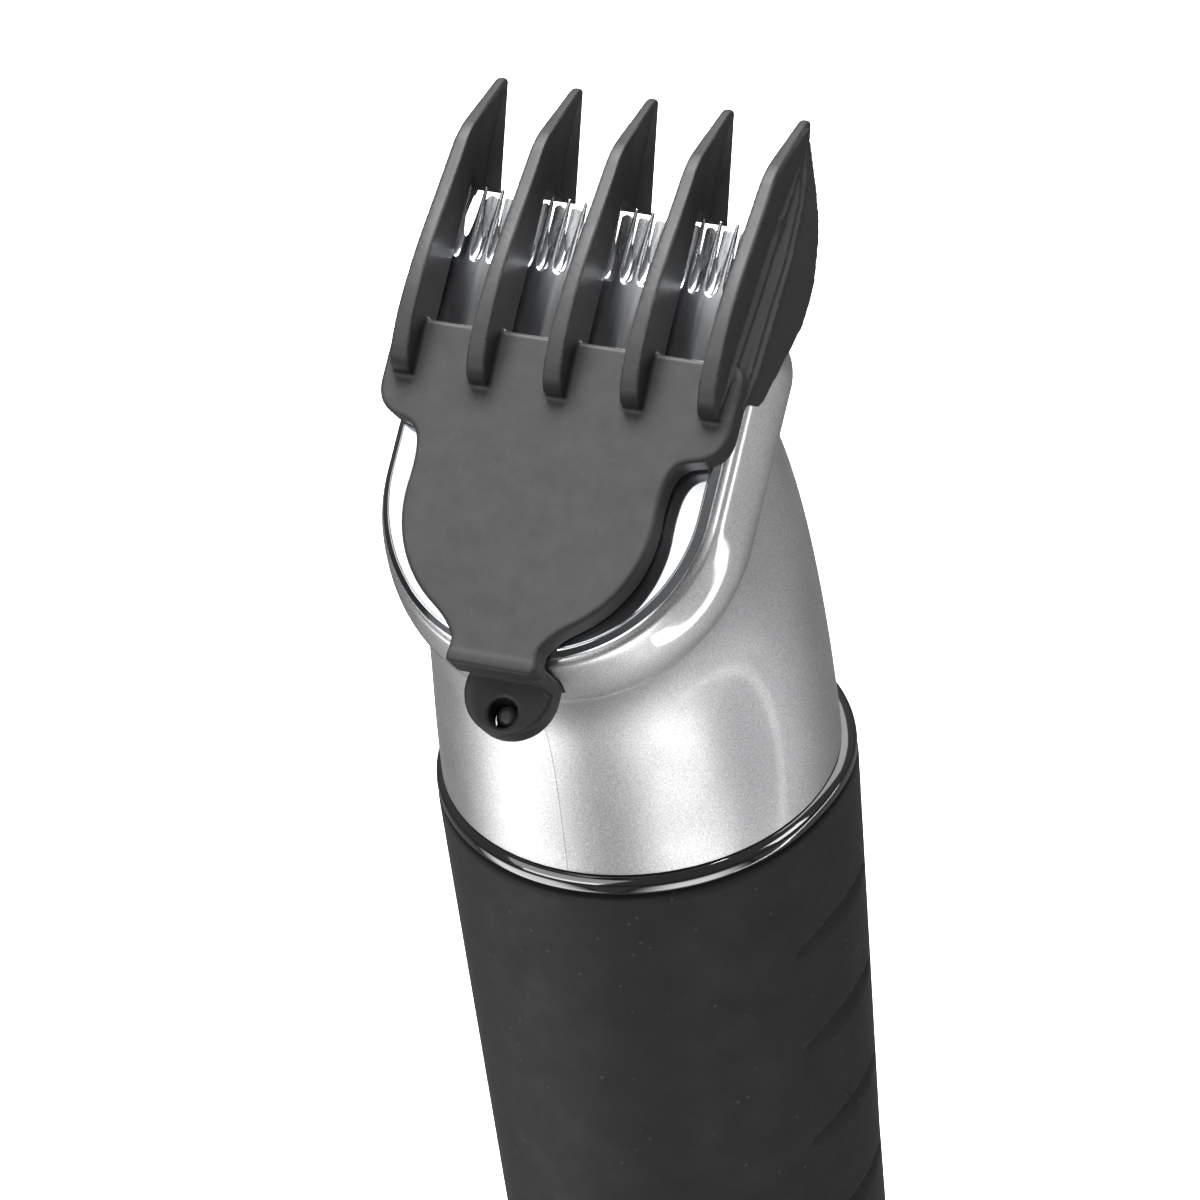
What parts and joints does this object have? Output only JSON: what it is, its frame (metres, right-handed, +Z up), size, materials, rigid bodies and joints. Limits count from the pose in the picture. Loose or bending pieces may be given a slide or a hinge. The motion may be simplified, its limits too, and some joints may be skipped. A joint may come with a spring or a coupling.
{
  "type": "hair clipper",
  "caption": "Cordless hair clipper: round rubber grip, satin neck, angled steel blade head and a finned comb that snaps over it.",
  "frame": {"origin": "centre of the flat base that the clipper stands on", "axes": "+Z up the handle, -Y towards the side that the blade and comb face, +X across the blade"},
  "size_m": [0.0456, 0.0579, 0.1753],
  "materials": {
    "satin_silver": "satin metallic, fine speckle",
    "rubber_black": "matt, soft touch",
    "comb_black": "matt with a fine grain",
    "inner_plastic": "matt",
    "gloss_black": "high gloss",
    "blade_steel": "polished",
    "cutter_steel": "ground",
    "motor_steel": "zinc plated",
    "contact_brass": "plated",
    "nylon": "natural",
    "board": "solder mask",
    "cell_wrap": "shrink wrap",
    "lens": "clear, tinted"
  },
  "bodies": {
    "handle": {"neck_shell_left": "satin_silver", "neck_shell_right": "satin_silver", "neck_seal": "rubber_black", "trim_ring": "gloss_black", "grip_sleeve": "rubber_black", "handle_core": "inner_plastic", "base_cap": "gloss_black", "base_screw_front": "motor_steel", "base_screw_back": "motor_steel", "charge_contact_left": "contact_brass", "charge_contact_right": "contact_brass", "charge_light": "lens", "switch_block": "motor_steel", "circuit_board": "board", "battery_cell": "cell_wrap", "battery_contact_top": "contact_brass", "battery_contact_bottom": "contact_brass", "battery_cradle": "inner_plastic", "motor_can": "motor_steel", "motor_mount": "inner_plastic", "motor_screw_left": "motor_steel", "motor_screw_right": "motor_steel", "fixed_blade": "blade_steel", "blade_screw_left": "motor_steel", "blade_screw_right": "motor_steel", "blade_carrier": "inner_plastic", "tension_spring": "motor_steel", "comb_catch": "inner_plastic"},
    "comb": {"attachment_comb": "comb_black"},
    "cutter": {"moving_blade": "cutter_steel", "drive_yoke": "nylon"},
    "rotor": {"motor_shaft": "motor_steel", "eccentric_cam": "nylon"},
    "switch": {"power_switch": "gloss_black"}
  },
  "joints": [
    {"name": "comb_lift_off", "type": "slide", "parent": "handle", "child": "comb", "axis": [0, -0.5878, 0.809], "range_m": [0, 0.03]},
    {"name": "cutter_stroke", "type": "slide", "parent": "handle", "child": "cutter", "axis": [1, 0, 0], "range_m": [-0.001, 0.001]},
    {"name": "rotor_spin", "type": "hinge", "parent": "handle", "child": "rotor", "pos_m": [0, 0, 0.137], "axis": [0, 0, 1], "continuous": true},
    {"name": "switch_slide", "type": "slide", "parent": "handle", "child": "switch", "axis": [0, 0, 1], "range_m": [0, 0.005]}
  ]
}
